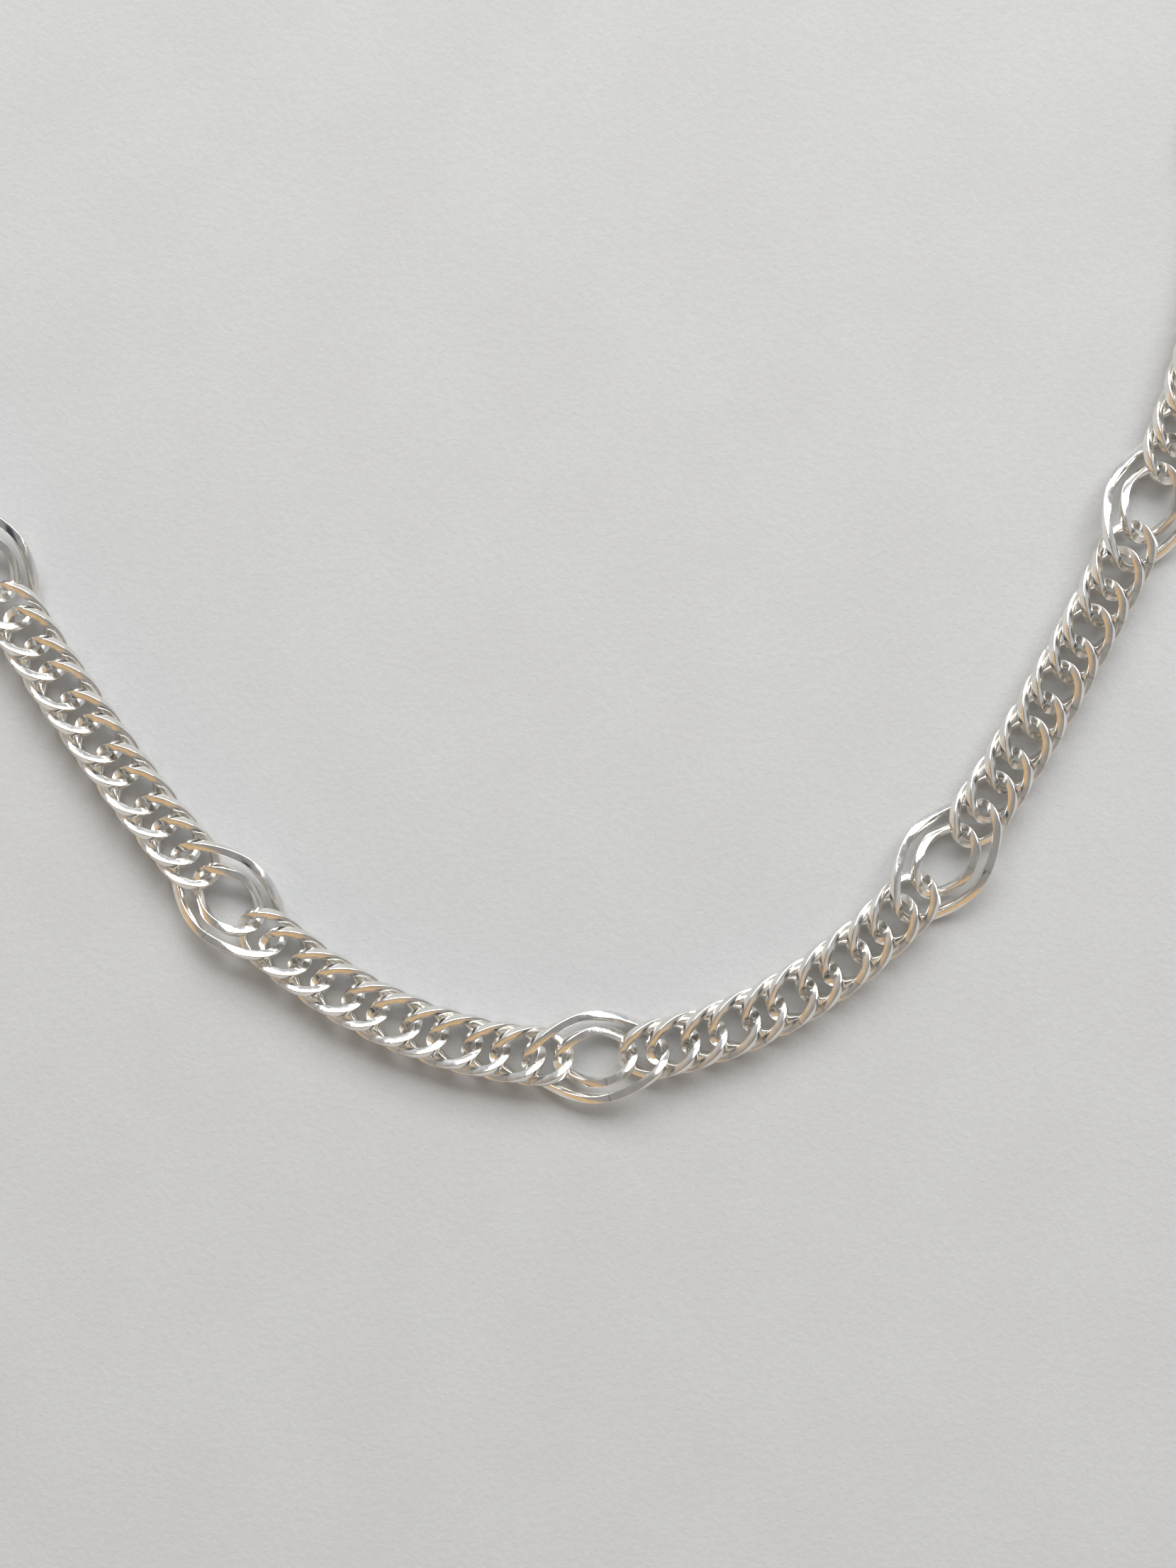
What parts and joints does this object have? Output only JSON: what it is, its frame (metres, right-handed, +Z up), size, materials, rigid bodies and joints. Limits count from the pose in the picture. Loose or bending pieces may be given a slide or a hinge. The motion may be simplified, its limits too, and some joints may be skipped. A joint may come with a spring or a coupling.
{
  "type": "chain necklace",
  "caption": "Double curb chain necklace of twisted square-wire links with large twin links at intervals, laid open in a U with a lobster claw and ring at its ends.",
  "frame": {"origin": "middle of the front large link, which hangs lowest when the necklace is worn", "axes": "+X to the right along the front of the necklace, +Y from the front link up towards the clasp, +Z up from the surface it lies on"},
  "size_m": [0.1915, 0.1866, 0.0046],
  "materials": {
    "small_link_silver": "polished",
    "large_link_silver": "polished",
    "clasp_silver": "polished",
    "spring_steel": "satin"
  },
  "bodies": {
    "front_link": {"outer_link_front": "large_link_silver"},
    "front_inner_link": {"inner_link_front": "small_link_silver"},
    "left_pair_01": {"left_pair_01": "small_link_silver"},
    "left_pair_02": {"left_pair_02": "small_link_silver"},
    "left_pair_03": {"left_pair_03": "small_link_silver"},
    "left_pair_04": {"left_pair_04": "small_link_silver"},
    "left_pair_05": {"left_pair_05": "small_link_silver"},
    "left_large_1": {"outer_link_left_1": "large_link_silver"},
    "left_inner_1": {"inner_link_left_1": "small_link_silver"},
    "left_pair_06": {"left_pair_06": "small_link_silver"},
    "left_pair_07": {"left_pair_07": "small_link_silver"},
    "left_pair_08": {"left_pair_08": "small_link_silver"},
    "left_pair_09": {"left_pair_09": "small_link_silver"},
    "left_pair_10": {"left_pair_10": "small_link_silver"},
    "left_large_2": {"outer_link_left_2": "large_link_silver"},
    "left_inner_2": {"inner_link_left_2": "small_link_silver"},
    "left_pair_11": {"left_pair_11": "small_link_silver"},
    "left_pair_12": {"left_pair_12": "small_link_silver"},
    "left_pair_13": {"left_pair_13": "small_link_silver"},
    "left_pair_14": {"left_pair_14": "small_link_silver"},
    "left_pair_15": {"left_pair_15": "small_link_silver"},
    "left_large_3": {"outer_link_left_3": "large_link_silver"},
    "left_inner_3": {"inner_link_left_3": "small_link_silver"},
    "left_pair_16": {"left_pair_16": "small_link_silver"},
    "left_pair_17": {"left_pair_17": "small_link_silver"},
    "left_pair_18": {"left_pair_18": "small_link_silver"},
    "left_pair_19": {"left_pair_19": "small_link_silver"},
    "left_pair_20": {"left_pair_20": "small_link_silver"},
    "right_pair_01": {"right_pair_01": "small_link_silver"},
    "right_pair_02": {"right_pair_02": "small_link_silver"},
    "right_pair_03": {"right_pair_03": "small_link_silver"},
    "right_pair_04": {"right_pair_04": "small_link_silver"},
    "right_pair_05": {"right_pair_05": "small_link_silver"},
    "right_large_1": {"outer_link_right_1": "large_link_silver"},
    "right_inner_1": {"inner_link_right_1": "small_link_silver"},
    "right_pair_06": {"right_pair_06": "small_link_silver"},
    "right_pair_07": {"right_pair_07": "small_link_silver"},
    "right_pair_08": {"right_pair_08": "small_link_silver"},
    "right_pair_09": {"right_pair_09": "small_link_silver"},
    "right_pair_10": {"right_pair_10": "small_link_silver"},
    "right_large_2": {"outer_link_right_2": "large_link_silver"},
    "right_inner_2": {"inner_link_right_2": "small_link_silver"},
    "right_pair_11": {"right_pair_11": "small_link_silver"},
    "right_pair_12": {"right_pair_12": "small_link_silver"},
    "right_pair_13": {"right_pair_13": "small_link_silver"},
    "right_pair_14": {"right_pair_14": "small_link_silver"},
    "right_pair_15": {"right_pair_15": "small_link_silver"},
    "right_large_3": {"outer_link_right_3": "large_link_silver"},
    "right_inner_3": {"inner_link_right_3": "small_link_silver"},
    "right_pair_16": {"right_pair_16": "small_link_silver"},
    "right_pair_17": {"right_pair_17": "small_link_silver"},
    "right_pair_18": {"right_pair_18": "small_link_silver"},
    "right_pair_19": {"right_pair_19": "small_link_silver"},
    "right_pair_20": {"right_pair_20": "small_link_silver"},
    "clasp_ring": {"clasp_ring": "clasp_silver"},
    "claw": {"claw_body": "clasp_silver", "claw_spring": "spring_steel", "claw_rivet": "clasp_silver"},
    "claw_lever": {"claw_lever": "clasp_silver"},
    "end_ring": {"end_ring": "clasp_silver"}
  },
  "joints": [
    {"name": "front_inner_roll", "type": "hinge", "parent": "front_link", "child": "front_inner_link", "pos_m": [0, 0, 0], "axis": [1, 0, 0], "range_deg": [-3, 3]},
    {"name": "left_pair_01_turn", "type": "hinge", "parent": "front_link", "child": "left_pair_01", "pos_m": [-0.00589, 0.00031, 0], "axis": [0, 0, 1], "range_deg": [-5, 8]},
    {"name": "left_pair_02_fold", "type": "hinge", "parent": "left_pair_01", "child": "left_pair_02", "pos_m": [-0.014, 0.00179, 0], "axis": [0.2522, 0.9677, 0], "range_deg": [-5, 5]},
    {"name": "left_pair_03_turn", "type": "hinge", "parent": "left_pair_02", "child": "left_pair_03", "pos_m": [-0.02179, 0.00445, 0], "axis": [0, 0, 1], "range_deg": [-5.5, 8]},
    {"name": "left_pair_04_fold", "type": "hinge", "parent": "left_pair_03", "child": "left_pair_04", "pos_m": [-0.02912, 0.00821, 0], "axis": [0.5171, 0.8559, 0], "range_deg": [-5, 5]},
    {"name": "left_pair_05_turn", "type": "hinge", "parent": "left_pair_04", "child": "left_pair_05", "pos_m": [-0.03587, 0.01292, 0], "axis": [0, 0, 1], "range_deg": [-6.5, 8]},
    {"name": "left_large_1_fold", "type": "hinge", "parent": "left_pair_05", "child": "left_large_1", "pos_m": [-0.04201, 0.01842, 0], "axis": [0.7061, 0.7081, 0], "range_deg": [-5, 5]},
    {"name": "left_inner_1_roll", "type": "hinge", "parent": "left_large_1", "child": "left_inner_1", "pos_m": [-0.04605, 0.02272, 0], "axis": [0.6608, -0.7506, 0], "range_deg": [-3, 3]},
    {"name": "left_pair_06_turn", "type": "hinge", "parent": "left_large_1", "child": "left_pair_06", "pos_m": [-0.04982, 0.02726, 0], "axis": [0, 0, 1], "range_deg": [-8, 8]},
    {"name": "left_pair_07_fold", "type": "hinge", "parent": "left_pair_06", "child": "left_pair_07", "pos_m": [-0.05475, 0.03387, 0], "axis": [0.8173, 0.5762, 0], "range_deg": [-5, 5]},
    {"name": "left_pair_08_turn", "type": "hinge", "parent": "left_pair_07", "child": "left_pair_08", "pos_m": [-0.05936, 0.0407, 0], "axis": [0, 0, 1], "range_deg": [-8, 8]},
    {"name": "left_pair_09_fold", "type": "hinge", "parent": "left_pair_08", "child": "left_pair_09", "pos_m": [-0.06375, 0.04767, 0], "axis": [0.8523, 0.523, 0], "range_deg": [-5, 5]},
    {"name": "left_pair_10_turn", "type": "hinge", "parent": "left_pair_09", "child": "left_pair_10", "pos_m": [-0.06799, 0.05474, 0], "axis": [0, 0, 1], "range_deg": [-8, 8]},
    {"name": "left_large_2_fold", "type": "hinge", "parent": "left_pair_10", "child": "left_large_2", "pos_m": [-0.07202, 0.06193, 0], "axis": [0.8804, 0.4741, 0], "range_deg": [-5, 5]},
    {"name": "left_inner_2_roll", "type": "hinge", "parent": "left_large_2", "child": "left_inner_2", "pos_m": [-0.07474, 0.06717, 0], "axis": [0.4481, -0.894, 0], "range_deg": [-3, 3]},
    {"name": "left_pair_11_turn", "type": "hinge", "parent": "left_large_2", "child": "left_pair_11", "pos_m": [-0.0773, 0.07249, 0], "axis": [0, 0, 1], "range_deg": [-8, 8]},
    {"name": "left_pair_12_fold", "type": "hinge", "parent": "left_pair_11", "child": "left_pair_12", "pos_m": [-0.08055, 0.08007, 0], "axis": [0.9293, 0.3694, 0], "range_deg": [-5, 5]},
    {"name": "left_pair_13_turn", "type": "hinge", "parent": "left_pair_12", "child": "left_pair_13", "pos_m": [-0.08338, 0.08781, 0], "axis": [0, 0, 1], "range_deg": [-8, 8]},
    {"name": "left_pair_14_fold", "type": "hinge", "parent": "left_pair_13", "child": "left_pair_14", "pos_m": [-0.08574, 0.0957, 0], "axis": [0.9663, 0.2575, 0], "range_deg": [-5, 5]},
    {"name": "left_pair_15_turn", "type": "hinge", "parent": "left_pair_14", "child": "left_pair_15", "pos_m": [-0.08762, 0.10372, 0], "axis": [0, 0, 1], "range_deg": [-8, 8]},
    {"name": "left_large_3_fold", "type": "hinge", "parent": "left_pair_15", "child": "left_large_3", "pos_m": [-0.08901, 0.11185, 0], "axis": [0.9901, 0.1406, 0], "range_deg": [-5, 5]},
    {"name": "left_inner_3_roll", "type": "hinge", "parent": "left_large_3", "child": "left_inner_3", "pos_m": [-0.08973, 0.11771, 0], "axis": [0.1015, -0.9948, 0], "range_deg": [-3, 3]},
    {"name": "left_pair_16_turn", "type": "hinge", "parent": "left_large_3", "child": "left_pair_16", "pos_m": [-0.09022, 0.12359, 0], "axis": [0, 0, 1], "range_deg": [-8, 8]},
    {"name": "left_pair_17_fold", "type": "hinge", "parent": "left_pair_16", "child": "left_pair_17", "pos_m": [-0.09057, 0.13183, 0], "axis": [0.9997, 0.0225, 0], "range_deg": [-5, 5]},
    {"name": "left_pair_18_turn", "type": "hinge", "parent": "left_pair_17", "child": "left_pair_18", "pos_m": [-0.09062, 0.14007, 0], "axis": [0, 0, 1], "range_deg": [-8, 8]},
    {"name": "left_pair_19_fold", "type": "hinge", "parent": "left_pair_18", "child": "left_pair_19", "pos_m": [-0.09045, 0.14831, 0], "axis": [0.9996, -0.0287, 0], "range_deg": [-5, 5]},
    {"name": "left_pair_20_turn", "type": "hinge", "parent": "left_pair_19", "child": "left_pair_20", "pos_m": [-0.09019, 0.15654, 0], "axis": [0, 0, 1], "range_deg": [-8, 8]},
    {"name": "right_pair_01_turn", "type": "hinge", "parent": "front_link", "child": "right_pair_01", "pos_m": [0.00589, 0.00031, 0], "axis": [0, 0, 1], "range_deg": [-8, 5]},
    {"name": "right_pair_02_fold", "type": "hinge", "parent": "right_pair_01", "child": "right_pair_02", "pos_m": [0.014, 0.00179, 0], "axis": [-0.2522, 0.9677, 0], "range_deg": [-5, 5]},
    {"name": "right_pair_03_turn", "type": "hinge", "parent": "right_pair_02", "child": "right_pair_03", "pos_m": [0.02179, 0.00445, 0], "axis": [0, 0, 1], "range_deg": [-8, 5.5]},
    {"name": "right_pair_04_fold", "type": "hinge", "parent": "right_pair_03", "child": "right_pair_04", "pos_m": [0.02912, 0.00821, 0], "axis": [-0.5171, 0.8559, 0], "range_deg": [-5, 5]},
    {"name": "right_pair_05_turn", "type": "hinge", "parent": "right_pair_04", "child": "right_pair_05", "pos_m": [0.03587, 0.01292, 0], "axis": [0, 0, 1], "range_deg": [-8, 6.5]},
    {"name": "right_large_1_fold", "type": "hinge", "parent": "right_pair_05", "child": "right_large_1", "pos_m": [0.04201, 0.01842, 0], "axis": [-0.7061, 0.7081, 0], "range_deg": [-5, 5]},
    {"name": "right_inner_1_roll", "type": "hinge", "parent": "right_large_1", "child": "right_inner_1", "pos_m": [0.04605, 0.02272, 0], "axis": [0.6608, 0.7506, 0], "range_deg": [-3, 3]},
    {"name": "right_pair_06_turn", "type": "hinge", "parent": "right_large_1", "child": "right_pair_06", "pos_m": [0.04982, 0.02726, 0], "axis": [0, 0, 1], "range_deg": [-8, 8]},
    {"name": "right_pair_07_fold", "type": "hinge", "parent": "right_pair_06", "child": "right_pair_07", "pos_m": [0.05475, 0.03387, 0], "axis": [-0.8173, 0.5762, 0], "range_deg": [-5, 5]},
    {"name": "right_pair_08_turn", "type": "hinge", "parent": "right_pair_07", "child": "right_pair_08", "pos_m": [0.05936, 0.0407, 0], "axis": [0, 0, 1], "range_deg": [-8, 8]},
    {"name": "right_pair_09_fold", "type": "hinge", "parent": "right_pair_08", "child": "right_pair_09", "pos_m": [0.06375, 0.04767, 0], "axis": [-0.8523, 0.523, 0], "range_deg": [-5, 5]},
    {"name": "right_pair_10_turn", "type": "hinge", "parent": "right_pair_09", "child": "right_pair_10", "pos_m": [0.06799, 0.05474, 0], "axis": [0, 0, 1], "range_deg": [-8, 8]},
    {"name": "right_large_2_fold", "type": "hinge", "parent": "right_pair_10", "child": "right_large_2", "pos_m": [0.07202, 0.06193, 0], "axis": [-0.8804, 0.4741, 0], "range_deg": [-5, 5]},
    {"name": "right_inner_2_roll", "type": "hinge", "parent": "right_large_2", "child": "right_inner_2", "pos_m": [0.07474, 0.06717, 0], "axis": [0.4481, 0.894, 0], "range_deg": [-3, 3]},
    {"name": "right_pair_11_turn", "type": "hinge", "parent": "right_large_2", "child": "right_pair_11", "pos_m": [0.0773, 0.07249, 0], "axis": [0, 0, 1], "range_deg": [-8, 8]},
    {"name": "right_pair_12_fold", "type": "hinge", "parent": "right_pair_11", "child": "right_pair_12", "pos_m": [0.08055, 0.08007, 0], "axis": [-0.9293, 0.3694, 0], "range_deg": [-5, 5]},
    {"name": "right_pair_13_turn", "type": "hinge", "parent": "right_pair_12", "child": "right_pair_13", "pos_m": [0.08338, 0.08781, 0], "axis": [0, 0, 1], "range_deg": [-8, 8]},
    {"name": "right_pair_14_fold", "type": "hinge", "parent": "right_pair_13", "child": "right_pair_14", "pos_m": [0.08574, 0.0957, 0], "axis": [-0.9663, 0.2575, 0], "range_deg": [-5, 5]},
    {"name": "right_pair_15_turn", "type": "hinge", "parent": "right_pair_14", "child": "right_pair_15", "pos_m": [0.08762, 0.10372, 0], "axis": [0, 0, 1], "range_deg": [-8, 8]},
    {"name": "right_large_3_fold", "type": "hinge", "parent": "right_pair_15", "child": "right_large_3", "pos_m": [0.08901, 0.11185, 0], "axis": [-0.9901, 0.1406, 0], "range_deg": [-5, 5]},
    {"name": "right_inner_3_roll", "type": "hinge", "parent": "right_large_3", "child": "right_inner_3", "pos_m": [0.08973, 0.11771, 0], "axis": [0.1015, 0.9948, 0], "range_deg": [-3, 3]},
    {"name": "right_pair_16_turn", "type": "hinge", "parent": "right_large_3", "child": "right_pair_16", "pos_m": [0.09022, 0.12359, 0], "axis": [0, 0, 1], "range_deg": [-8, 8]},
    {"name": "right_pair_17_fold", "type": "hinge", "parent": "right_pair_16", "child": "right_pair_17", "pos_m": [0.09057, 0.13183, 0], "axis": [-0.9997, 0.0225, 0], "range_deg": [-5, 5]},
    {"name": "right_pair_18_turn", "type": "hinge", "parent": "right_pair_17", "child": "right_pair_18", "pos_m": [0.09062, 0.14007, 0], "axis": [0, 0, 1], "range_deg": [-8, 8]},
    {"name": "right_pair_19_fold", "type": "hinge", "parent": "right_pair_18", "child": "right_pair_19", "pos_m": [0.09045, 0.14831, 0], "axis": [-0.9996, -0.0287, 0], "range_deg": [-5, 5]},
    {"name": "right_pair_20_turn", "type": "hinge", "parent": "right_pair_19", "child": "right_pair_20", "pos_m": [0.09019, 0.15654, 0], "axis": [0, 0, 1], "range_deg": [-8, 8]},
    {"name": "clasp_ring_roll", "type": "hinge", "parent": "right_pair_20", "child": "clasp_ring", "pos_m": [0.08983, 0.16739, 0], "axis": [-0.0329, 0.9995, 0], "range_deg": [-20, 6]},
    {"name": "claw_swing", "type": "hinge", "parent": "clasp_ring", "child": "claw", "pos_m": [0.08974, 0.17014, 0], "axis": [0, 0, 1], "range_deg": [-20, 20]},
    {"name": "claw_lever_open", "type": "hinge", "parent": "claw", "child": "claw_lever", "pos_m": [0.08785, 0.17433, 0], "axis": [0, 0, -1], "range_deg": [0, 28], "stiffness_Nm_per_rad": 0.0002},
    {"name": "end_ring_roll", "type": "hinge", "parent": "left_pair_20", "child": "end_ring", "pos_m": [-0.08983, 0.16739, 0], "axis": [-0.0329, -0.9995, 0], "range_deg": [-10, 10]}
  ]
}
